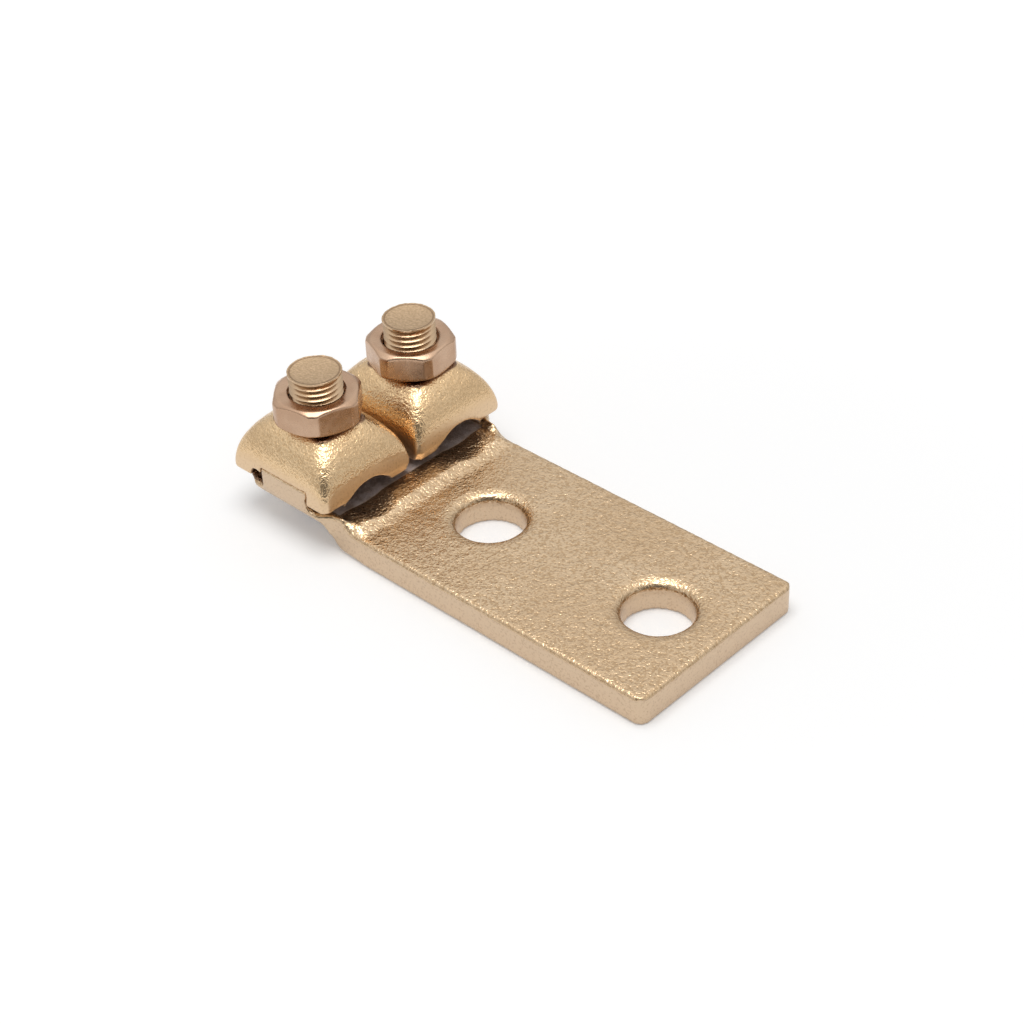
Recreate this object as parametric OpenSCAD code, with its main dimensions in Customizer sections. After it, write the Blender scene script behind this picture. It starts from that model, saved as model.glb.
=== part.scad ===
// Terminal lug for two stranded conductors. A cast bronze body has a flat tongue with two bolt holes and,
// behind it, two saddles side by side. A pillow-shaped cap sits over each saddle and is drawn down by a nut
// on an eyebolt, whose eye passes under the saddle, so the conductor lies through the eye.
// Millimetres. The origin is midway between the bolt holes on the underside, +X runs to the tongue's free
// end and +Z is up.

/* [Tongue] */
// Width of the tongue
tongue_w = 45.7; // [40:0.1:50]
// Thickness of the tongue
tongue_t = 6.35; // [5:0.05:9]
// Distance between the centres of the two bolt holes
hole_spacing = 44.45; // [38:0.05:60]
// Diameter of the bolt holes
hole_d = 14.3; // [10:0.1:17]
// Radius of the cast lip at the top of each bolt hole
hole_lip_r = 1.2; // [0.3:0.1:2]
// From the outer bolt hole's centre to the free end
hole_to_end = 15.3; // [12:0.1:25]
// From the inner bolt hole's centre to the foot of the ramp up to the clamp floor
hole_to_ramp = 13.3; // [10:0.1:30]
// Corner radius of the free end, seen from above
end_corner_r = 2.5; // [1:0.1:6]
// Radius along the tongue's top edges
edge_r = 0.9; // [0.3:0.1:1.5]

/* [Clamp base] */
// Height of the clamp floor above the tongue's top
floor_rise = 1.25; // [0.8:0.05:3]
// Radius of the concave ramp between the tongue and the clamp floor
ramp_r = 6; // [3.5:0.1:10]
// Length of the floor in front of the caps
lip_l = 4.1; // [2.6:0.1:6]
// Thickness of the floor between and beside the saddles
floor_t = 1.8; // [1.2:0.1:2.5]
// Height of the rim along each side above the clamp floor
rim_h = 1.6; // [0.8:0.05:1.8]
// Width of the rim along each side
rim_w = 4.2; // [3.6:0.1:5]
// Radius of the concave front end of each rim
rim_front_r = 4; // [3:0.1:5]
// From a cap's front to the front end of the rim
rim_lead = 1.3; // [0.2:0.1:1.8]
// Depth of each saddle's trough below the clamp floor
trough_depth = 0.5; // [0.3:0.05:1]
// Radius of each saddle's trough
trough_r = 20; // [14:0.5:30]
// Thickness of each saddle under its trough
saddle_t = 3.4; // [2.5:0.1:4]
// Thickness of the rim along each side
rim_t = 1.2; // [1:0.1:2.5]
// From a cap's front back to the end of the mounting face
heel_l = 1.2; // [0.8:0.1:4]
// Length over which the body widens from the tongue to the base
flare_l = 2.3; // [1:0.1:6]
// How far the caps overhang the base at the rear
cap_overhang = 4.9; // [1:0.1:6]
// Corner radius at the rear of the base, seen from above
base_corner_r = 2; // [1:0.1:4]

/* [Ears] */
// Length of the ear that keeps each cap from turning
ear_l = 12.9; // [8:0.1:13]
// Height of each ear above the rim
ear_h = 4.5; // [3:0.05:6]
// Thickness of each ear
ear_t = 2.1; // [1.2:0.1:2.1]
// How far each ear lies in front of its bolt
ear_forward = 0.75; // [0:0.05:1]
// Diameter of the round pocket in the cap behind each ear
ear_pocket_d = 3.4; // [2.4:0.1:3.6]

/* [Caps] */
// Length of each cap along the conductor
cap_l = 28.8; // [26:0.1:36]
// How far each cap's middle lies behind its bolt
cap_setback = 0.7; // [0:0.1:1.5]
// Gap between the two caps
cap_gap = 1.8; // [1:0.1:4]
// Wall between a cap's eye pocket and its ear notch
cap_wall = 0.5; // [0.4:0.05:1.5]
// Thickness of a cap's roof between the eye pocket and the nut
cap_roof_t = 5.6; // [4:0.1:8]
// Height of a cap's inner feet above the clamp floor
foot_gap = 1.6; // [0.8:0.05:2.5]
// How much higher a cap's outer feet end
outer_foot_rise = 1.3; // [0.5:0.1:2]
// Radius of the barrel curves over a cap
cap_r = 12.2; // [9:0.1:12.3]
// Height of the pillow's crown above the nut seat
crown_rise = 1.5; // [0.5:0.1:2]
// Height of the drawn-in skirt above a cap's feet
skirt_h = 2.3; // [1.5:0.1:3]
// How far the skirt draws in at its foot, at a cap's front and rear
skirt_draw = 0.9; // [0.4:0.1:1.5]
// How much is taken off a cap's diagonal ridges
ridge_cut = 0.7; // [0.3:0.1:2]
// Width of the conductor arch at a cap's feet
arch_w = 13.4; // [10:0.1:14]
// Height of the conductor arch
arch_h = 3.9; // [2.5:0.1:4.5]

/* [Eyebolts and nuts] */
// Diameter of the stud
stud_d = 11.11; // [8:0.01:12]
// Inner diameter of the eye
eye_d = 13.2; // [12:0.1:16]
// Thickness of the eye's ring
eye_bar = 2.6; // [2:0.1:2.6]
// Width of the eye along the conductor
eye_w = 10; // [8:0.1:11]
// How far the stud stands above its nut
stud_proud = 4.6; // [2:0.1:12]
// Width of the nut across its flats
nut_af = 17.46; // [16:0.01:19]
// Height of the nut
nut_h = 6.6; // [5:0.1:12]
// Radial width of the lead-in cone at the top of the nut's bore
nut_lead = 1.3; // [0.5:0.1:2]
// Slope of the chamfer at the nut's corners
nut_chamfer_angle = 30; // [20:1:40]
// Angle at which the left nut has stopped
left_nut_angle = 12; // [0:1:59]
// Angle at which the right nut has stopped
right_nut_angle = 38.6; // [0:0.1:59]
// Diameter of the flat that the chamfer leaves at each end of the hexagon
nut_flat_d = 16.7; // [14:0.1:17]
// Diameter of the washer face under the nut
nut_face_d = 15.8; // [13.5:0.1:16.4]
// Height of the washer face under the nut
nut_face_h = 0.4; // [0.2:0.05:1]

/* [Clearances] */
// Radial play between the stud and its nut
thread_play = 0.05; // [0.02:0.01:0.1]
// Radial play between the stud and the cap's hole
stud_play = 0.6; // [0.3:0.05:1]
// Gap between the saddle and the inside of the eye
eye_seat_gap = 0.2; // [0.05:0.05:0.3]
// Gap around the outside of the eye
eye_play = 0.3; // [0.2:0.05:0.5]
// Gap in front of each ear
ear_front_gap = 0.5; // [0.3:0.05:1]
// Gap behind each ear
ear_rear_gap = 0.5; // [0.3:0.05:1]
// Gap between each ear's inner face and its cap
ear_side_gap = 0.3; // [0.2:0.05:0.6]
// Gap around the nut's corners in the spot face of a cap
spot_face_gap = 0.4; // [0.2:0.1:1]

/* [Hidden] */
$fn = 96;
bronze = [0.78, 0.62, 0.45];
stud_bronze = [0.74, 0.57, 0.40];
nut_bronze = [0.70, 0.50, 0.38];
cut = 1;
crown_flat = 0.1;
seam_angle = 30;
left = -1;
right = 1;

end_x = hole_spacing / 2 + hole_to_end;
ramp_x = -hole_spacing / 2 - hole_to_ramp;
lip_x = ramp_x - sqrt(pow(ramp_r, 2) - pow(ramp_r - floor_rise, 2));
cap_front_x = lip_x - lip_l;
cap_x = cap_front_x - cap_l / 2;
bolt_x = cap_x + cap_setback;
base_rear_x = cap_x - cap_l / 2 + cap_overhang;
rim_front_x = cap_front_x + rim_lead;
heel_x = cap_front_x - heel_l;
base_front_x = heel_x - flare_l;

floor_z = tongue_t + floor_rise;
rim_z = floor_z + rim_h;
edge_z = rim_z - rim_t;
seat_z = floor_z - trough_depth;
saddle_z = seat_z - saddle_t;
saddle_r = eye_d / 2 - eye_seat_gap;
eye_z = saddle_z + saddle_r;
eye_r = eye_d / 2 + eye_bar;
slot_r = eye_r + eye_play;
slot_w = eye_w + 2 * eye_play;
stud_r = stud_d / 2;
shoulder_z = eye_z + sqrt(pow(eye_r, 2) - pow(stud_r + stud_play, 2));
ear_z = rim_z + ear_h;

notch_depth = ear_t + ear_side_gap;
cap_w = 2 * (slot_r + cap_wall + notch_depth);
bolt_spacing = cap_w + cap_gap;
bolt_y = bolt_spacing / 2;
base_w = bolt_spacing + cap_w;
floor_w = base_w - 2 * rim_w;
foot_z = floor_z + foot_gap;
pocket_z = shoulder_z + eye_play;
nut_seat_z = pocket_z + cap_roof_t;
crown_z = nut_seat_z + crown_rise;
arch_r = (pow(arch_w / 2, 2) + pow(arch_h, 2)) / (2 * arch_h);

ear_front_x = bolt_x + ear_forward + ear_l / 2;
stud_end_z = nut_seat_z + nut_h + stud_proud;
nut_corner_r = nut_af / sqrt(3);
nut_flat_r = nut_flat_d / 2;
nut_bore_r = stud_r + thread_play;
belly_drop = edge_z - saddle_z;
belly_r = (pow(cap_w / 2, 2) + pow(belly_drop, 2)) / (2 * belly_drop);

// Places its children on the bolt axis of one side
module on_bolt(side) {
    translate([bolt_x, side * bolt_y, 0]) children();
}

// Extrudes an outline drawn in X and Z across the body, centred on Y
module across(width) {
    rotate([90, 0, 0]) linear_extrude(width, center = true) children();
}

// Extrudes an outline drawn in Y and Z along the conductor from one X to another
module along(from_x, to_x) {
    translate([from_x, 0, 0]) rotate([90, 0, 90]) linear_extrude(to_x - from_x) children();
}

// A lying cylinder along the conductor, centred on the bolt axis
module lying(r, length, z) {
    translate([0, 0, z]) rotate([0, 90, 0]) cylinder(r = r, h = length, center = true);
}

// Rectangle that stands on the X axis, with rounded upper corners
module rounded_top(width, height, r) {
    translate([-width / 2, 0]) square([width, height - r]);
    translate([-width / 2 + r, 0]) square([width - 2 * r, height]);
    intersection() {
        translate([-width / 2, 0]) square([width, height]);
        for (side = [left, right]) translate([side * (width / 2 - r), height - r]) circle(r);
    }
}

// The tongue seen from above, with its rounded free end
module tongue_plan() {
    translate([heel_x, -tongue_w / 2]) square([end_x - end_corner_r - heel_x, tongue_w]);
    translate([heel_x, -tongue_w / 2 + end_corner_r]) square([end_x - heel_x, tongue_w - 2 * end_corner_r]);
    for (side = [left, right])
        translate([end_x - end_corner_r, side * (tongue_w / 2 - end_corner_r)]) circle(end_corner_r);
}

// The tongue seen from the side, with its rounded top edge at the free end
module tongue_side() {
    translate([heel_x, 0]) square([end_x - edge_r - heel_x, tongue_t]);
    translate([heel_x, 0]) square([end_x - heel_x, tongue_t - edge_r]);
    translate([end_x - edge_r, tongue_t - edge_r]) circle(edge_r);
}

// The base seen from above: the tongue's width, a flare, then the width over both caps
module base_plan() {
    polygon([
        [ramp_x, -tongue_w / 2], [ramp_x, tongue_w / 2], [heel_x, tongue_w / 2],
        [base_front_x, base_w / 2], [base_rear_x + base_corner_r, base_w / 2],
        [base_rear_x + base_corner_r, -base_w / 2], [base_front_x, -base_w / 2], [heel_x, -tongue_w / 2],
    ]);
    translate([base_rear_x, -base_w / 2 + base_corner_r])
        square([base_corner_r, base_w - 2 * base_corner_r]);
    for (side = [left, right])
        translate([base_rear_x + base_corner_r, side * (base_w / 2 - base_corner_r)]) circle(base_corner_r);
}

// A slope seen from the side, up to a given height behind a concave arc that meets the tongue's top
module concave_rise(top_x, top_z, r) {
    rise = top_z - tongue_t;
    foot_x = top_x + sqrt(pow(r, 2) - pow(r - rise, 2));
    difference() {
        translate([heel_x, 0]) square([foot_x - heel_x, top_z]);
        translate([foot_x, tongue_t + r]) circle(r);
    }
}

// The slanting heel under the clamp seen from the side, behind the mounting face and let into the rims
module heel_side() {
    let_in_x = base_front_x - rim_t;
    polygon([[heel_x, 0], [heel_x, rim_z], [let_in_x, rim_z], [let_in_x, edge_z], [base_front_x, edge_z]]);
}

// The base seen from behind: a rim along each side, the floor and a belly under each saddle
module base_section() {
    translate([-base_w / 2, edge_z]) square([base_w, rim_t]);
    translate([-floor_w / 2, floor_z - floor_t]) square([floor_w, floor_t]);
    for (side = [left, right]) intersection() {
        translate([side * bolt_y - cap_w / 2, saddle_z]) square([cap_w, belly_drop + rim_t]);
        translate([side * bolt_y, saddle_z + belly_r]) circle(belly_r);
    }
}

// One bolt hole with its rounded cast lip
module bolt_hole() {
    translate([0, 0, -cut]) cylinder(d = hole_d, h = tongue_t + 2 * cut);
    translate([0, 0, tongue_t - hole_lip_r]) rotate_extrude() difference() {
        square([hole_d / 2 + hole_lip_r, hole_lip_r + cut]);
        translate([hole_d / 2 + hole_lip_r, 0]) circle(hole_lip_r);
    }
}

// The shallow round trough of a saddle, between the rims
module trough() {
    half = floor_w / 2 - bolt_y;
    intersection() {
        lying(trough_r, 2 * cap_l, seat_z + trough_r);
        translate([-cap_l, -half, 0]) cube([2 * cap_l, 2 * half, rim_z]);
    }
}

// The way of the eye through the base: a ring around the saddle
module eye_slot() {
    difference() {
        lying(slot_r, slot_w, eye_z);
        lying(saddle_r, slot_w + cut, eye_z);
    }
}

module ear(side) {
    translate([ear_front_x - ear_l, side * (base_w / 2 - ear_t / 2) - ear_t / 2, edge_z])
        cube([ear_l, ear_t, ear_z - edge_z]);
}

module lug_body() {
    color(bronze) difference() {
        union() {
            intersection() {
                linear_extrude(tongue_t) tongue_plan();
                across(tongue_w) tongue_side();
                along(heel_x, end_x) rounded_top(tongue_w, tongue_t, edge_r);
            }
            intersection() {
                linear_extrude(rim_z) base_plan();
                union() {
                    difference() {
                        union() {
                            across(base_w) concave_rise(rim_front_x, rim_z, rim_front_r);
                            across(base_w) heel_side();
                            along(base_rear_x, base_front_x) base_section();
                        }
                        translate([base_rear_x - cut, -floor_w / 2, floor_z])
                            cube([ramp_x - base_rear_x + cut, floor_w, rim_h + cut]);
                    }
                    across(floor_w) concave_rise(lip_x, floor_z, ramp_r);
                }
            }
            for (side = [left, right]) ear(side);
        }
        for (side = [left, right]) {
            translate([side * hole_spacing / 2, 0, 0]) bolt_hole();
            on_bolt(side) {
                trough();
                eye_slot();
            }
        }
    }
}

// Outline of a cap from one side: skirt drawn in at its foot, waist and a barrel curve up to the crown
module pillow(half, draw) {
    waist_z = foot_z + skirt_h;
    barrel_r = min(cap_r, half - crown_flat, crown_z - waist_z - crown_flat);
    polygon([
        [-half + draw, foot_z], [half - draw, foot_z], [half, waist_z], [-half, waist_z],
    ]);
    translate([0, waist_z]) rounded_top(2 * half, crown_z - waist_z, barrel_r);
}

module cap(side) {
    ridge_half = sqrt(pow(cap_l, 2) + pow(cap_w, 2)) / 2 - ridge_cut;
    notch_l = ear_l + ear_front_gap + ear_rear_gap;
    notch_y = side * (cap_w / 2 - notch_depth / 2) - notch_depth / 2 - (side < 0 ? cut : 0);
    color(bronze) on_bolt(side) difference() {
        translate([-cap_setback, 0, 0]) intersection() {
            across(cap_w) pillow(cap_l / 2, skirt_draw);
            along(-cap_l / 2, cap_l / 2) pillow(cap_w / 2, 0);
            rotate_extrude() intersection() {
                pillow(ridge_half, skirt_draw);
                square([ridge_half, crown_z]);
            }
        }
        // Spot face for the nut and the hole for the stud
        translate([0, 0, nut_seat_z]) cylinder(r = nut_corner_r + spot_face_gap, h = crown_rise + cut);
        cylinder(r = stud_r + stud_play, h = crown_z + cut);
        // Conductor arch and the pocket over the eye
        lying(arch_r, 2 * cap_l, foot_z + arch_h - arch_r);
        intersection() {
            lying(slot_r, slot_w, eye_z);
            translate([-slot_w / 2, -slot_r, 0]) cube([slot_w, 2 * slot_r, pocket_z]);
        }
        // Higher outer foot, beside the arch
        translate([-cap_l, side > 0 ? arch_w / 2 : -cap_w / 2 - cut, 0])
            cube([2 * cap_l, cap_w / 2 - arch_w / 2 + cut, foot_z + outer_foot_rise]);
        // Notch that takes the ear of the base, and the round pocket behind the ear
        translate([ear_forward + ear_l / 2 + ear_front_gap - notch_l, notch_y, 0])
            cube([notch_l, notch_depth + cut, ear_z]);
        translate([ear_forward - ear_l / 2 - ear_pocket_d / 2, notch_y, rim_z + ear_pocket_d / 2])
            rotate([-90, 0, 0]) cylinder(d = ear_pocket_d, h = notch_depth + cut);
    }
}

module eyebolt(side) {
    color(stud_bronze) on_bolt(side) difference() {
        union() {
            intersection() {
                lying(eye_r, eye_w, eye_z);
                translate([-eye_w / 2, -eye_r, 0]) cube([eye_w, 2 * eye_r, shoulder_z]);
            }
            translate([0, 0, eye_z]) cylinder(r = stud_r, h = stud_end_z - eye_z);
        }
        lying(eye_d / 2, stud_d + cut, eye_z);
    }
}

// Outline of the turned shape around the hexagon, which chamfers its corners at both ends
module nut_envelope() {
    outer_r = nut_corner_r + cut;
    rise = (outer_r - nut_flat_r) * tan(nut_chamfer_angle);
    top = nut_h - nut_face_h;
    polygon([[0, 0], [nut_flat_r, 0], [outer_r, rise], [outer_r, top - rise], [nut_flat_r, top], [0, top]]);
}

module nut(side, angle) {
    color(nut_bronze) on_bolt(side) translate([0, 0, nut_seat_z]) difference() {
        union() {
            cylinder(d = nut_face_d, h = nut_face_h);
            translate([0, 0, nut_face_h]) rotate(angle) intersection() {
                cylinder(r = nut_corner_r, h = nut_h - nut_face_h, $fn = 6);
                rotate(seam_angle) rotate_extrude() nut_envelope();
            }
        }
        translate([0, 0, -cut]) cylinder(r = nut_bore_r, h = nut_h + 2 * cut);
        translate([0, 0, nut_h - nut_lead]) cylinder(r1 = nut_bore_r, r2 = nut_bore_r + nut_lead, h = nut_lead);
    }
}

lug_body();
cap(left);  // left_cap
cap(right);  // right_cap
eyebolt(left);  // left_eyebolt
eyebolt(right);  // right_eyebolt
nut(left, left_nut_angle);  // left_nut
nut(right, right_nut_angle);  // right_nut
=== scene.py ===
import math

import bpy
from mathutils import Matrix, Vector


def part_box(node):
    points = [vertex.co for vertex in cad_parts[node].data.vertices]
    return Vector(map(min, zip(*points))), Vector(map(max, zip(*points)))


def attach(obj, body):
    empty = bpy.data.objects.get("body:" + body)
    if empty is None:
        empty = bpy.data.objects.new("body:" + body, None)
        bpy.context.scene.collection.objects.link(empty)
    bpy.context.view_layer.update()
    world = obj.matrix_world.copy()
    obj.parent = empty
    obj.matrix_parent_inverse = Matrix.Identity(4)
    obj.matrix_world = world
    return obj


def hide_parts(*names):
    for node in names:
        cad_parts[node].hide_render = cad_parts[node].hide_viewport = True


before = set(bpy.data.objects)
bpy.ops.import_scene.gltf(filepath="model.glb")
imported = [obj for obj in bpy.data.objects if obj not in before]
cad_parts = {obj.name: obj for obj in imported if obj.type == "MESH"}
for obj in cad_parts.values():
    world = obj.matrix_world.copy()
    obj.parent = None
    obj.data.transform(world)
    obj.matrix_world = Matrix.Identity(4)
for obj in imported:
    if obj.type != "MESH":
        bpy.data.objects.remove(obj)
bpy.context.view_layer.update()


# Lug body. One sand casting in a pale bronze: tongue, ramp, two saddles, rims and ears in one piece. The
# mould leaves pebbled skin on its upper faces; the saddles under the caps carry painted shade, dark and
# dull. The sides, the free end, the bolt holes and the flat underside are ground smooth.
mm = 0.001


def merged_copy(node, name):
    """A copy of a CAD node's mesh with its loose triangles merged, alone and active."""
    bpy.ops.object.select_all(action="DESELECT")
    piece = bpy.data.objects.new(name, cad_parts[node].data.copy())
    bpy.context.scene.collection.objects.link(piece)
    piece.data.materials.clear()
    bpy.context.view_layer.objects.active = piece
    piece.select_set(True)
    bpy.ops.object.mode_set(mode="EDIT")
    bpy.ops.mesh.select_all(action="SELECT")
    bpy.ops.mesh.remove_doubles(threshold=0.001 * mm)
    bpy.ops.object.mode_set(mode="OBJECT")
    return piece


def joined(piece, *others):
    """Joins other objects to a piece, which stays alone and active."""
    bpy.ops.object.select_all(action="DESELECT")
    for member in (piece, *others):
        member.select_set(True)
    bpy.context.view_layer.objects.active = piece
    bpy.ops.object.join()


def smoothed(piece, passes, group=""):
    """Relaxes a mesh, everywhere or by the weights of a vertex group."""
    smooth = piece.modifiers.new("rounding", "SMOOTH")
    smooth.factor = 0.5
    smooth.iterations = passes
    smooth.vertex_group = group
    bpy.ops.object.modifier_apply(modifier=smooth.name)


def softened(piece, voxel, passes):
    """Turns a piece's hard edges into the rounded ones of a casting."""
    remesh = piece.modifiers.new("skin", "REMESH")
    remesh.mode = "VOXEL"
    remesh.voxel_size = voxel
    bpy.ops.object.modifier_apply(modifier=remesh.name)
    smoothed(piece, passes)
    bpy.ops.object.shade_smooth()


def share(value, low, high):
    """How far a value has come from low to high, from 0 to 1."""
    return min(max((value - low) / (high - low), 0.0), 1.0)


def weights(piece, name, weight_of):
    """A vertex group whose weights a function gives."""
    group = piece.vertex_groups.new(name=name)
    for vertex in piece.data.vertices:
        group.add([vertex.index], weight_of(vertex), "REPLACE")
    return group.name


def waved(piece, depth, grain, group):
    """Lets a surface wander a little, as a sand mould's does."""
    sand = bpy.data.textures.new(piece.name + "_sand", "CLOUDS")
    sand.noise_scale = grain
    sand.noise_depth = 1
    waves = piece.modifiers.new("sand", "DISPLACE")
    waves.texture = sand
    waves.texture_coords = "LOCAL"
    waves.vertex_group = group
    waves.strength = depth
    waves.mid_level = 0.5
    bpy.ops.object.modifier_apply(modifier=waves.name)


def feed(tree, value, socket):
    """Links a socket to an output, or gives it a plain number."""
    if isinstance(value, bpy.types.NodeSocket):
        tree.links.new(value, socket)
    else:
        socket.default_value = value


def math_node(tree, operation, *values):
    """A math node fed by sockets or plain numbers; gives its output."""
    node = tree.nodes.new("ShaderNodeMath")
    node.operation = operation
    for socket, value in zip(node.inputs, values):
        feed(tree, value, socket)
    return node.outputs[0]


def product(tree, first, *others):
    """Sockets or plain numbers multiplied together."""
    for other in others:
        first = math_node(tree, "MULTIPLY", first, other)
    return first


def ranged(tree, value, low, high, to_low=0.0, to_high=1.0):
    """Maps a value from one range to another, clamped and eased."""
    node = tree.nodes.new("ShaderNodeMapRange")
    node.interpolation_type = "SMOOTHSTEP"
    tree.links.new(value, node.inputs["Value"])
    node.inputs["From Min"].default_value = low
    node.inputs["From Max"].default_value = high
    node.inputs["To Min"].default_value = to_low
    node.inputs["To Max"].default_value = to_high
    return node.outputs["Result"]


def fading(tree, value, low, high):
    """A mask that falls from 1 to 0 while a value goes from low to high."""
    return ranged(tree, value, low, high, to_low=1.0, to_high=0.0)


def noise(tree, scale, detail, distortion=0.0):
    """Noise on Object coordinates; scale is in features to the metre."""
    place = tree.nodes.new("ShaderNodeTexCoord")
    node = tree.nodes.new("ShaderNodeTexNoise")
    tree.links.new(place.outputs["Object"], node.inputs["Vector"])
    feed(tree, scale, node.inputs["Scale"])
    node.inputs["Detail"].default_value = detail
    node.inputs["Distortion"].default_value = distortion
    return node.outputs["Fac"]


def axis_of(tree, output, axis):
    """One component of a Texture Coordinate output."""
    place = tree.nodes.new("ShaderNodeTexCoord")
    parts = tree.nodes.new("ShaderNodeSeparateXYZ")
    tree.links.new(place.outputs[output], parts.inputs["Vector"])
    return parts.outputs[axis]


def place_on(tree):
    """A point's place along the lug, its distance from the lug's middle plane and its height."""
    along, across, height = (axis_of(tree, "Object", axis) for axis in "XYZ")
    return along, math_node(tree, "ABSOLUTE", across), height


def mixed(tree, factor, first, second):
    """A colour between two, by a factor from 0 to 1."""
    node = tree.nodes.new("ShaderNodeMix")
    node.data_type = "RGBA"
    first_color, second_color, result = node.inputs[6], node.inputs[7], node.outputs[2]
    tree.links.new(factor, node.inputs["Factor"])
    for socket, color in ((first_color, first), (second_color, second)):
        feed(tree, (*color, 1) if isinstance(color, tuple) else color, socket)
    return result


cast_skin = bpy.data.node_groups.new("cast_skin", "ShaderNodeTree")
cast_skin.interface.new_socket("Grain", in_out="INPUT", socket_type="NodeSocketFloat")
for title in ("Height", "Raised", "Cloud", "Ground", "Speckle"):
    cast_skin.interface.new_socket(title, in_out="OUTPUT", socket_type="NodeSocketFloat")
skin_in = cast_skin.nodes.new("NodeGroupInput")
skin_out = cast_skin.nodes.new("NodeGroupOutput")
ground_faces = fading(cast_skin, axis_of(cast_skin, "Normal", "Z"), 0.10, 0.40)
cast_faces = math_node(cast_skin, "SUBTRACT", 1.0, ground_faces)
pebbles = noise(cast_skin, skin_in.outputs["Grain"], detail=1, distortion=0.5)
lumps = product(cast_skin, noise(cast_skin, scale=420, detail=1), 0.6)
grit = product(cast_skin, noise(cast_skin, scale=3400, detail=2), 0.3)
cast_height = product(cast_skin, math_node(cast_skin, "ADD", pebbles, lumps), cast_faces)
ground_height = product(cast_skin, grit, ground_faces)
skin_values = {
    "Height": math_node(cast_skin, "ADD", cast_height, ground_height),
    "Raised": ranged(cast_skin, pebbles, 0.36, 0.56),
    "Cloud": ranged(cast_skin, noise(cast_skin, scale=60, detail=3), 0.3, 0.7),
    "Ground": ground_faces,
    "Speckle": ranged(cast_skin, noise(cast_skin, scale=2300, detail=2), 0.5, 0.72),
}
for title, value in skin_values.items():
    cast_skin.links.new(value, skin_out.inputs[title])


def metal(name):
    """A material with a metal shader; gives the material, its node tree and the shader."""
    material = bpy.data.materials.new(name)
    material.use_nodes = True
    shader = material.node_tree.nodes["Principled BSDF"]
    shader.inputs["Metallic"].default_value = 1.0
    return material, material.node_tree, shader


def bumped(tree, shader, height, depth):
    """Gives a shader relief of a depth in metres."""
    bump = tree.nodes.new("ShaderNodeBump")
    bump.inputs["Strength"].default_value = 1.0
    bump.inputs["Distance"].default_value = depth
    tree.links.new(height, bump.inputs["Height"])
    tree.links.new(bump.outputs["Normal"], shader.inputs["Normal"])


def painted_shade_over(tree, shader, color, shade_mask):
    """Lays painted shade, dark, dull and blotchy, over a metal where the shade mask is 1.

    The roughness of the bare metal is linked to the shader before.
    """
    # Painted shade: dark, dull tones that stand in for the shade in the caps' arches, in the saddles and on
    # the eyes.
    shade_dark, shade_pale = (0.30, 0.225, 0.19), (0.47, 0.395, 0.375)
    shade_metallic, shade_roughness = 0.15, 0.62
    blotches = ranged(tree, noise(tree, scale=480, detail=4), 0.35, 0.65)
    painted_shade_tone = mixed(tree, blotches, shade_dark, shade_pale)
    tree.links.new(mixed(tree, shade_mask, color, painted_shade_tone), shader.inputs["Base Color"])
    tree.links.new(ranged(tree, shade_mask, 0.0, 1.0, 1.0, shade_metallic), shader.inputs["Metallic"])
    bare = shader.inputs["Roughness"].links[0].from_socket
    dull = math_node(tree, "MAXIMUM", bare, product(tree, shade_mask, shade_roughness))
    tree.links.new(dull, shader.inputs["Roughness"])


def cast_bronze(name, pale, warm, hollow, ground, pitted, grain, bump_depth):
    """Bronze with pebbled, cloudy cast faces, darker in the hollows, and smoother, pitted ground faces."""
    cast_roughness, ground_roughness = 0.23, 0.34
    material, tree, shader = metal(name)
    skin = tree.nodes.new("ShaderNodeGroup")
    skin.node_tree = cast_skin
    skin.inputs["Grain"].default_value = grain
    ground_mask = skin.outputs["Ground"]
    cast_tone = mixed(tree, skin.outputs["Raised"], hollow, mixed(tree, skin.outputs["Cloud"], pale, warm))
    ground_tone = mixed(tree, skin.outputs["Speckle"], ground, pitted)
    color = mixed(tree, ground_mask, cast_tone, ground_tone)
    roughness = ranged(tree, ground_mask, 0.0, 1.0, cast_roughness, ground_roughness)
    tree.links.new(roughness, shader.inputs["Roughness"])
    bumped(tree, shader, skin.outputs["Height"], bump_depth)
    return material, tree, shader, color


tongue_top = 6.35 * mm
hole_x, hole_r = 22.225 * mm, 7.15 * mm
heel_start, heel_full = 36 * mm, 44 * mm
rim_inner, rim_full, rim_top = 20.5 * mm, 21.5 * mm, 9.2 * mm
ear_front, ear_rear = -49.79 * mm, -62.69 * mm
ear_inner, ear_full = 22.9 * mm, 23.3 * mm
ear_swell, swell_start, swell_full = 0.45 * mm, 11.6 * mm, 12.2 * mm
clamp_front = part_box("left_cap")[1].x
# A ledge and a post on the rim close the round pocket behind each ear. Their places count in millimetres
# from the ear's rear face and from the middle plane.
ledge = {"behind_ear": 1.6, "from_middle": 22.6, "size": (4.6, 1.6, 2.2)}
post = {"behind_ear": 3.8, "from_middle": 23.5, "size": (1.2, 2.6, 2.3)}
# Painted shade: the dark brown of the unlit insides of the pockets behind the ears and of the gap under
# each nut.
painted_pocket_shade = (0.20, 0.115, 0.07)


def heel_weight(vertex):
    """Full on the outer rims behind the ramp, up to their tops."""
    on_rim = share(abs(vertex.co.y), rim_inner, rim_full)
    behind_ramp = share(-vertex.co.x, heel_start, heel_full)
    above_rim = share(vertex.co.z, rim_top, rim_top + 0.4 * mm)
    return on_rim * behind_ramp * (1 - above_rim)


def lip_weight(vertex):
    """Full round the upper ends of the bolt holes."""
    near_top = share(vertex.co.z, tongue_top - 3.5 * mm, tongue_top - 1.5 * mm)
    from_hole = Vector((abs(vertex.co.x) - hole_x, vertex.co.y)).length
    return near_top * (1 - share(from_hole, hole_r + 2 * mm, hole_r + 3 * mm))


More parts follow.
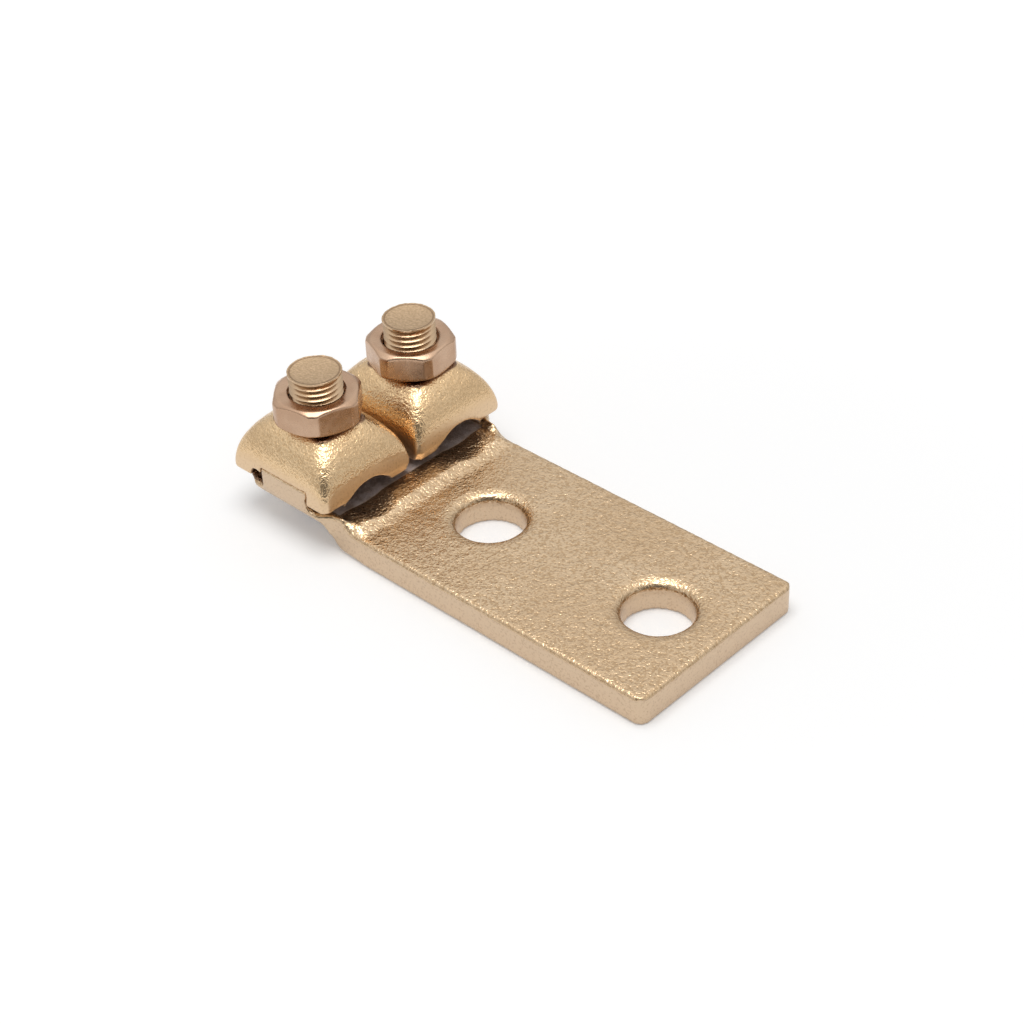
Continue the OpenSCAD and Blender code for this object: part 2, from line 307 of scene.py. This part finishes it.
lug = merged_copy("lug_body", "cast_lug_body")
for side in (-1, 1):
    for block in (ledge, post):
        block_x, block_y = ear_rear - block["behind_ear"] * mm, side * block["from_middle"] * mm
        bpy.ops.object.select_all(action="DESELECT")
        bpy.ops.mesh.primitive_cube_add(size=1 * mm, location=(block_x, block_y, rim_top))
        bpy.ops.transform.resize(value=block["size"])
        bpy.ops.object.transform_apply(location=True, rotation=True, scale=True)
        joined(lug, bpy.context.active_object)
softened(lug, voxel=0.37 * mm, passes=4)
smoothed(lug, passes=80, group=weights(lug, "heel", heel_weight))
for vertex in lug.data.vertices:
    at_front = 1 - share(abs(vertex.co.x - ear_front), 0.5 * mm, 1 * mm)
    on_ear = share(abs(vertex.co.y), ear_inner, ear_full)
    vertex.co.x += ear_swell * at_front * on_ear * share(vertex.co.z, swell_start, swell_full)
smoothed(lug, passes=150, group=weights(lug, "hole_lips", lip_weight))
top_skin = weights(lug, "cast_skin", lambda vertex: share(vertex.normal.z, 0.25, 0.6))
waved(lug, depth=0.12 * mm, grain=1.5 * mm, group=top_skin)

lug_metal, lug_tree, lug_shader, lug_color = cast_bronze(
    "cast_bronze", pale=(0.66, 0.495, 0.325), warm=(0.61, 0.44, 0.275), hollow=(0.50, 0.345, 0.20),
    ground=(0.65, 0.495, 0.345), pitted=(0.53, 0.385, 0.26), grain=1800, bump_depth=0.155 * mm)
lug_along, lug_aside, lug_height = place_on(lug_tree)
# Painted shade: the upward faces of the saddles under the caps are laid dark and dull, as shade.
under_caps = fading(lug_tree, lug_along, clamp_front - 2 * mm, clamp_front - 1 * mm)
between_rims = fading(lug_tree, lug_aside, rim_inner, rim_full)
facing_up = ranged(lug_tree, axis_of(lug_tree, "Normal", "Z"), 0.2, 0.5)
saddle_shade = product(lug_tree, under_caps, between_rims, facing_up)
# Painted shade: the round pocket behind each ear is painted dark brown.
inside_pocket = fading(lug_tree, lug_aside, 24.9 * mm, 25.3 * mm)
above_rims = ranged(lug_tree, lug_height, rim_top - 0.2 * mm, rim_top)
past_ear = fading(lug_tree, lug_along, ear_rear - 0.1 * mm, ear_rear)
shade_behind_ears = product(lug_tree, inside_pocket, above_rims, past_ear)
painted_shade_over(lug_tree, lug_shader, mixed(lug_tree, shade_behind_ears, lug_color, painted_pocket_shade), saddle_shade)
lug.data.materials.append(lug_metal)
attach(lug, "lug")
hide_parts("lug_body")


# Eyebolts. Each is a forged bronze eye round its saddle with a rolled 7/16-20 thread on the stud. The
# stud's end is sawn off rough and staked, so that the nut can't come off.
pitch = 25.4 / 20 * mm
thread_depth = 0.613 * pitch
# The last crest's place is set on the side between +X and -Y, where a crest is 0.458 of a pitch up a turn.
crest_below_end, crest_up_turn = 0.3 * mm, 0.458
eye_below_nut, eye_edge_r = 4 * mm, 0.3 * mm
staked_h, staked_spread, staked_edge_r = 0.45 * mm, 1.012, 0.07 * mm
sawn_rim, sawn_dip = 0.4 * mm, 0.12 * mm
rolled_pale, rolled_warm = (0.60, 0.43, 0.28), (0.54, 0.375, 0.23)
sawn_dark, sawn_pale = (0.46, 0.325, 0.195), (0.57, 0.41, 0.262)
burr_brown = (0.24, 0.15, 0.085)
rolled_roughness, sawn_roughness = 0.26, 0.48


def thread_profile(name, crest_r):
    """One pitch of the thread's outline as a chain of edges, drawn upwards beside the Z axis."""
    bpy.ops.object.select_all(action="DESELECT")
    bpy.ops.mesh.primitive_plane_add(size=pitch, location=(0, 0, 0))
    piece = bpy.context.active_object
    piece.name = name
    bpy.ops.object.mode_set(mode="EDIT")
    bpy.ops.mesh.select_all(action="SELECT")
    bpy.ops.mesh.merge(type="CENTER")
    bpy.ops.transform.translate(value=(crest_r - thread_depth, 0, 0))
    flat = pitch / 6
    flank = (pitch - flat - flat) / 2
    for out, up in ((0, flat), (0.8, flank), (0.2, flat / 2), (-0.2, flat / 2), (-0.8, flank)):
        bpy.ops.mesh.extrude_region_move(TRANSFORM_OT_translate={"value": (out * thread_depth, 0, up)})
    bpy.ops.object.mode_set(mode="OBJECT")
    return piece


def cut_level(z, keep_below):
    """Cuts the active mesh with a level plane, keeps one side and closes the cut."""
    bpy.ops.object.mode_set(mode="EDIT")
    bpy.ops.mesh.select_all(action="SELECT")
    bpy.ops.mesh.bisect(plane_co=(0, 0, z), plane_no=(0, 0, 1), use_fill=True,
                        clear_outer=keep_below, clear_inner=not keep_below)
    bpy.ops.object.mode_set(mode="OBJECT")


def beveled(piece, width):
    """Breaks a piece's sharp edges."""
    edges = piece.modifiers.new("broken_edge", "BEVEL")
    edges.width = width
    edges.segments = 3
    edges.limit_method = "ANGLE"
    bpy.ops.object.modifier_apply(modifier=edges.name)


def rolled_thread(name, crest_r, end, join_z):
    """The threaded rod, which reaches a little into the eye below and into the staked end above."""
    rod = thread_profile(name, crest_r)
    turns = math.ceil((end.z - join_z) / pitch) + 1
    helix = rod.modifiers.new("helix", "SCREW")
    helix.screw_offset = pitch
    helix.iterations = turns + 2
    helix.steps = 72
    helix.render_steps = 72
    bpy.ops.object.modifier_apply(modifier=helix.name)
    crest_from_start = crest_up_turn * pitch + turns * pitch
    bpy.ops.transform.translate(value=(end.x, end.y, end.z - crest_below_end - crest_from_start))
    bpy.ops.object.transform_apply(location=True, rotation=True, scale=True)
    cut_level(end.z - staked_h + 0.1 * mm, keep_below=True)
    cut_level(join_z - 0.2 * mm, keep_below=False)
    return rod


def staked_end(crest_r, end):
    """The stud's end, a disc that is sawn a little hollow and has a rough burr round it."""
    bpy.ops.object.select_all(action="DESELECT")
    bpy.ops.mesh.primitive_cylinder_add(
        vertices=120, radius=crest_r * staked_spread, depth=staked_h, end_fill_type="NGON",
        location=(end.x, end.y, end.z - staked_h / 2))
    disc = bpy.context.active_object
    bpy.ops.object.transform_apply(location=True, rotation=True, scale=True)
    bpy.ops.object.mode_set(mode="EDIT")
    bpy.ops.mesh.select_mode(type="FACE")
    bpy.ops.mesh.select_all(action="DESELECT")
    bpy.ops.object.mode_set(mode="OBJECT")
    for face in disc.data.polygons:
        face.select = face.normal.z > 0.9
    bpy.ops.object.mode_set(mode="EDIT")
    bpy.ops.mesh.inset(thickness=sawn_rim)
    bpy.ops.transform.translate(value=(0, 0, -sawn_dip))
    bpy.ops.mesh.select_mode(type="VERT")
    bpy.ops.object.mode_set(mode="OBJECT")
    beveled(disc, staked_edge_r)
    burr = weights(disc, "burr", lambda vertex: share((vertex.co - end).xy.length,
                                                      crest_r - 0.3 * mm, crest_r - 0.1 * mm))
    waved(disc, depth=0.25 * mm, grain=1.2 * mm, group=burr)
    return disc


def threaded_eyebolt(side):
    """The forged eye from the CAD node, a rolled thread in place of its plain stud and a staked end."""
    low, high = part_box(side + "_eyebolt")
    crest_r = (high.x - low.x) / 2
    end = (low + high) / 2
    end.z = high.z
    join_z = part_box(side + "_nut")[0].z - eye_below_nut
    rod = rolled_thread(side + "_rolled_thread", crest_r, end, join_z)
    disc = staked_end(crest_r, end)
    eye = merged_copy(side + "_eyebolt", side + "_threaded_eyebolt")
    cut_level(join_z, keep_below=True)
    beveled(eye, eye_edge_r)
    joined(eye, rod, disc)
    bpy.ops.object.mode_set(mode="EDIT")
    bpy.ops.mesh.select_all(action="SELECT")
    bpy.ops.mesh.normals_make_consistent(inside=False)
    bpy.ops.object.mode_set(mode="OBJECT")
    bpy.ops.object.shade_smooth_by_angle(angle=math.radians(40))
    return eye


def middle_of(node):
    """The middle of a CAD node's box."""
    low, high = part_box(node)
    return (low + high) / 2


def from_axis(tree, first, first_at, second, second_at):
    """Distance from an axis, by two sockets and the axis's place on each."""
    first_off = math_node(tree, "SUBTRACT", first, first_at)
    second_off = math_node(tree, "SUBTRACT", second, second_at)
    squares = math_node(tree, "ADD", product(tree, first_off, first_off),
                        product(tree, second_off, second_off))
    return math_node(tree, "SQRT", squares)


stud_metal, stud_tree, stud_shader = metal("stud_bronze")
stud_axis = middle_of("right_nut")
stud_along, stud_aside, stud_height = place_on(stud_tree)
stud_reach = from_axis(stud_tree, stud_along, stud_axis.x, stud_aside, stud_axis.y)
burr_ring = product(stud_tree, ranged(stud_tree, stud_reach, 4.85 * mm, 5.05 * mm),
                    fading(stud_tree, stud_reach, 5.2 * mm, 5.45 * mm))
sawn = ranged(stud_tree, axis_of(stud_tree, "Normal", "Z"), 0.9, 0.99)
saw_grit = noise(stud_tree, scale=2100, detail=3)
rolled_tone = mixed(stud_tree, noise(stud_tree, scale=260, detail=2), rolled_pale, rolled_warm)
sawn_tone = mixed(stud_tree, ranged(stud_tree, saw_grit, 0.3, 0.7), sawn_dark, sawn_pale)
end_tone = mixed(stud_tree, product(stud_tree, burr_ring, 0.75), sawn_tone, burr_brown)
stud_roughness = ranged(stud_tree, sawn, 0.0, 1.0, rolled_roughness, sawn_roughness)
stud_tree.links.new(stud_roughness, stud_shader.inputs["Roughness"])
# Painted shade: the eye, inside the cap's arch below this height, is laid dark and dull as shade.
clamp_shade = fading(stud_tree, stud_height, 18 * mm, 19 * mm)
painted_shade_over(stud_tree, stud_shader, mixed(stud_tree, sawn, rolled_tone, end_tone), clamp_shade)
saw_marks = product(stud_tree, saw_grit, ranged(stud_tree, sawn, 0.0, 1.0, 0.1, 1.0))
bumped(stud_tree, stud_shader, saw_marks, depth=0.16 * mm)
for side in ("left", "right"):
    bolt = threaded_eyebolt(side)
    bolt.data.materials.append(stud_metal)
    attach(bolt, "lug")
    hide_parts(side + "_eyebolt")


# Caps. Each is a sand casting of the same bronze, a pillow of two crossed barrels whose ridges are blended
# over near the nut and run out sharper at the feet. It drops over its stud, straddles the conductor with
# its arch, whose inside is painted dark as shade, and its notch fits over the ear of the body.
pocket_r = 1.7 * mm
pocket_along, pocket_height = ear_rear - pocket_r, rim_top + pocket_r
notch_inner, notch_full = 21.5 * mm, 22.5 * mm
seat_edge = 9.3 * mm
seat_low, seat_high = 22.3 * mm, 23.4 * mm
ridge_inner, ridge_outer = 2.5 * mm, 7 * mm


def cast_cap(side):
    """A cap with the rounded edges of a casting, its ridges blended over outside the nut's seat."""
    low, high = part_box(side + "_cap")
    middle, half = (low + high) / 2, (high - low) / 2
    stud = middle_of(side + "_nut").xy

    def ridge_weight(vertex):
        off_ridge = abs(vertex.co.x - middle.x) - abs(vertex.co.y - middle.y) - (half.x - half.y)
        above_feet = share(vertex.co.z, low.z + 2 * mm, low.z + 10 * mm)
        outside_seat = share((vertex.co.xy - stud).length, seat_edge, seat_edge + 0.8 * mm)
        return above_feet * outside_seat * (1 - share(abs(off_ridge), ridge_inner, ridge_outer))

    piece = merged_copy(side + "_cap", side + "_cast_cap")
    softened(piece, voxel=0.28 * mm, passes=8)
    smoothed(piece, passes=600, group=weights(piece, "ridges", ridge_weight))
    top = weights(piece, "cast_skin", lambda vertex: share(vertex.normal.z, 0.1, 0.5))
    waved(piece, depth=0.10 * mm, grain=1.3 * mm, group=top)
    return piece


cap_metal, cap_tree, cap_shader, cap_color = cast_bronze(
    "cap_bronze", pale=(0.76, 0.55, 0.325), warm=(0.71, 0.495, 0.28), hollow=(0.65, 0.445, 0.245),
    ground=(0.74, 0.545, 0.35), pitted=(0.60, 0.425, 0.265), grain=2100, bump_depth=0.155 * mm)
cap_along, cap_aside, cap_height = place_on(cap_tree)
# Painted shade: the cap's downward faces inside the arch are laid dark and dull, as shade.
facing_down = fading(cap_tree, axis_of(cap_tree, "Normal", "Z"), -0.62, -0.46)
arch_shade = product(cap_tree, facing_down, fading(cap_tree, cap_aside, notch_inner, notch_full))
# Painted shade: the pocket behind the ear and a thin ring round the nut's foot on the seat are painted dark
# brown.
from_pocket = from_axis(cap_tree, cap_along, pocket_along, cap_height, pocket_height)
pocket_shade = fading(cap_tree, from_pocket, pocket_r + 0.05 * mm, pocket_r + 0.3 * mm)
from_stud = from_axis(cap_tree, cap_along, stud_axis.x, cap_aside, stud_axis.y)
seat_shadow_ring = product(cap_tree, fading(cap_tree, from_stud, seat_edge + 0.1 * mm, seat_edge + 0.5 * mm),
                  ranged(cap_tree, cap_height, seat_low, seat_low + 0.3 * mm),
                  fading(cap_tree, cap_height, seat_high - 0.4 * mm, seat_high))
painted_pocket_and_seat_shade = math_node(cap_tree, "MAXIMUM", pocket_shade, seat_shadow_ring)
painted_shade_over(cap_tree, cap_shader, mixed(cap_tree, painted_pocket_and_seat_shade, cap_color, painted_pocket_shade), arch_shade)
for side in ("left", "right"):
    cap = cast_cap(side)
    cap.data.materials.append(cap_metal)
    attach(cap, side + "_cap")
    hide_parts(side + "_cap")


# Nuts. Each is a hexagon nut in a pinker bronze, forged and chamfered at both ends, with a washer face
# below and a lead-in with a rounded lip above. It runs on the stud and presses its cap down.
corner_r = 9.55 * mm
lip_r, lip_round_r = 6.6 * mm, 0.62 * mm
nut_pale, nut_stained = (0.56, 0.38, 0.26), (0.48, 0.31, 0.205)
smooth_roughness, scuffed_roughness = 0.22, 0.34


def hexagon_nut(side):
    """A nut from the CAD node, with its corners turned round and a lip added to its lead-in."""
    middle = middle_of(side + "_nut")
    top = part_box(side + "_nut")[1].z
    bpy.ops.object.select_all(action="DESELECT")
    bpy.ops.mesh.primitive_cylinder_add(vertices=128, radius=corner_r, depth=20 * mm, location=middle)
    rounder = bpy.context.active_object
    piece = merged_copy(side + "_nut", side + "_hexagon_nut")
    turned_corners = piece.modifiers.new("turned_corners", "BOOLEAN")
    turned_corners.operation = "INTERSECT"
    turned_corners.object = rounder
    bpy.ops.object.modifier_apply(modifier=turned_corners.name)
    bpy.data.objects.remove(rounder)
    bpy.ops.object.select_all(action="DESELECT")
    bpy.ops.mesh.primitive_torus_add(
        major_radius=lip_r, minor_radius=lip_round_r, major_segments=96, minor_segments=24,
        location=(middle.x, middle.y, top - lip_round_r))
    bpy.ops.object.transform_apply(location=True, rotation=True, scale=True)
    joined(piece, bpy.context.active_object)
    softened(piece, voxel=0.2 * mm, passes=14)
    return piece


nut_metal, nut_tree, nut_shader = metal("nut_bronze")
scuff = noise(nut_tree, scale=700, detail=4)
stain = ranged(nut_tree, noise(nut_tree, scale=150, detail=3), 0.35, 0.65)
nut_tree.links.new(mixed(nut_tree, stain, nut_pale, nut_stained), nut_shader.inputs["Base Color"])
nut_roughness = ranged(nut_tree, scuff, 0.3, 0.7, smooth_roughness, scuffed_roughness)
nut_tree.links.new(nut_roughness, nut_shader.inputs["Roughness"])
bumped(nut_tree, nut_shader, scuff, depth=0.02 * mm)
for side in ("left", "right"):
    nut = hexagon_nut(side)
    nut.data.materials.append(nut_metal)
    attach(nut, side + "_nut")
    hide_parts(side + "_nut")


# Floor. A plain white sheet just under the tongue, of dull paper. A faint light of its own, weaker near the
# lug, makes it look white and keeps the lug's shadow on it.
sheet_size, sheet_below = 6.0, 0.15 * mm
sheet_gray = (0.9, 0.9, 0.9, 1)
near_reach, far_reach = 0.03, 0.5
near_lift, far_lift = 0.19, 0.75
bpy.ops.object.select_all(action="DESELECT")
bpy.ops.mesh.primitive_plane_add(size=sheet_size, location=(0, 0, -sheet_below))
floor = bpy.context.active_object
floor.name = "studio_floor"
floor_white = bpy.data.materials.new("studio_floor")
floor_white.use_nodes = True
floor_tree = floor_white.node_tree
floor_shader = floor_tree.nodes["Principled BSDF"]
floor_shader.inputs["Base Color"].default_value = sheet_gray
floor_shader.inputs["Roughness"].default_value = 1.0
floor_shader.inputs["Specular IOR Level"].default_value = 0.0
floor_shader.inputs["Emission Color"].default_value = (1, 1, 1, 1)
floor_rays = floor_tree.nodes.new("ShaderNodeLightPath")
floor_mirrored = math_node(floor_tree, "MAXIMUM", floor_rays.outputs["Is Glossy Ray"],
                           floor_rays.outputs["Is Transmission Ray"])
floor_seen = math_node(floor_tree, "MAXIMUM", floor_rays.outputs["Is Camera Ray"], floor_mirrored)
floor_place = floor_tree.nodes.new("ShaderNodeTexCoord")
floor_reach = floor_tree.nodes.new("ShaderNodeVectorMath")
floor_reach.operation = "LENGTH"
floor_tree.links.new(floor_place.outputs["Object"], floor_reach.inputs[0])
floor_lift = ranged(floor_tree, floor_reach.outputs["Value"], near_reach, far_reach, near_lift, far_lift)
floor_tree.links.new(product(floor_tree, floor_seen, floor_lift), floor_shader.inputs["Emission Strength"])
floor.data.materials.append(floor_white)


# Camera. It looks down on the lug from beyond the tongue's free end and from the left, at the photograph's
# viewing angle, and is turned a little about its own line of sight.
azimuth, elevation, roll = math.radians(44.95), math.radians(36.62), math.radians(-2.73)
distance = 435.2 * mm
target = Vector((-26.07, 10.08, 0)) * mm
back = Vector((math.sin(azimuth) * math.cos(elevation), -math.cos(azimuth) * math.cos(elevation),
               math.sin(elevation)))
level = Vector((math.cos(azimuth), math.sin(azimuth), 0))
rise = back.cross(level)
right = math.cos(roll) * level + math.sin(roll) * rise
up = math.cos(roll) * rise - math.sin(roll) * level
camera_data = bpy.data.cameras.new("camera")
camera_data.sensor_width = 36
camera_data.lens = 73.2
camera_data.clip_start = 0.01
camera = bpy.data.objects.new("camera", camera_data)
bpy.context.scene.collection.objects.link(camera)
turned = Matrix((right, up, back)).transposed().to_4x4()
camera.matrix_world = Matrix.Translation(target + back * distance) @ turned
bpy.context.scene.camera = camera
bpy.context.scene.view_settings.view_transform = "Standard"


# Light. A white room with pale walls and a soft box hung overhead, which draws the glints on edges and
# pebbles. What the metal mirrors is dim only on the side where the photographer stands, and low down.
room_level, white_level = 0.45, 1.0
dim_level, dim_rise = 0.22, 0.35
dim_edge, dim_core = 0.62, 0.95
low_level, high_level = 0.65, 1.2
soft_box_size, soft_box_energy = 0.34, 1.55
soft_box_place, soft_box_aim = Vector((-0.005, -0.05, 0.55)), Vector((-0.02, 0, 0))
world = bpy.data.worlds.new("studio")
bpy.context.scene.world = world
world.use_nodes = True
room = world.node_tree
rays = room.nodes.new("ShaderNodeLightPath")
toward = room.nodes.new("ShaderNodeTexCoord")
dim_side = room.nodes.new("ShaderNodeVectorMath")
dim_side.operation = "DOT_PRODUCT"
room.links.new(toward.outputs["Generated"], dim_side.inputs[0])
dim_side.inputs[1].default_value = Vector((back.x, back.y, dim_rise)).normalized()
dimmed = ranged(room, dim_side.outputs["Value"], dim_edge, dim_core, white_level, dim_level)
by_height = ranged(room, axis_of(room, "Generated", "Z"), 0.1, 1.0, low_level, high_level)
mirrored = product(room, dimmed, by_height)
plain = math_node(room, "MAXIMUM", rays.outputs["Is Camera Ray"], rays.outputs["Is Transmission Ray"])
plain_lift = product(room, plain, white_level - room_level)
glossy_lift = product(room, rays.outputs["Is Glossy Ray"],
                      math_node(room, "SUBTRACT", mirrored, room_level))
strength = math_node(room, "ADD", room_level, math_node(room, "ADD", plain_lift, glossy_lift))
background = room.nodes["Background"]
background.inputs["Color"].default_value = (1, 1, 1, 1)
room.links.new(strength, background.inputs["Strength"])
soft_box = bpy.data.lights.new("soft_box", "AREA")
soft_box.shape = "SQUARE"
soft_box.size = soft_box_size
soft_box.energy = soft_box_energy
lamp = bpy.data.objects.new("soft_box", soft_box)
bpy.context.scene.collection.objects.link(lamp)
lamp.location = soft_box_place
lamp.rotation_euler = (soft_box_aim - soft_box_place).to_track_quat("-Z", "Y").to_euler()
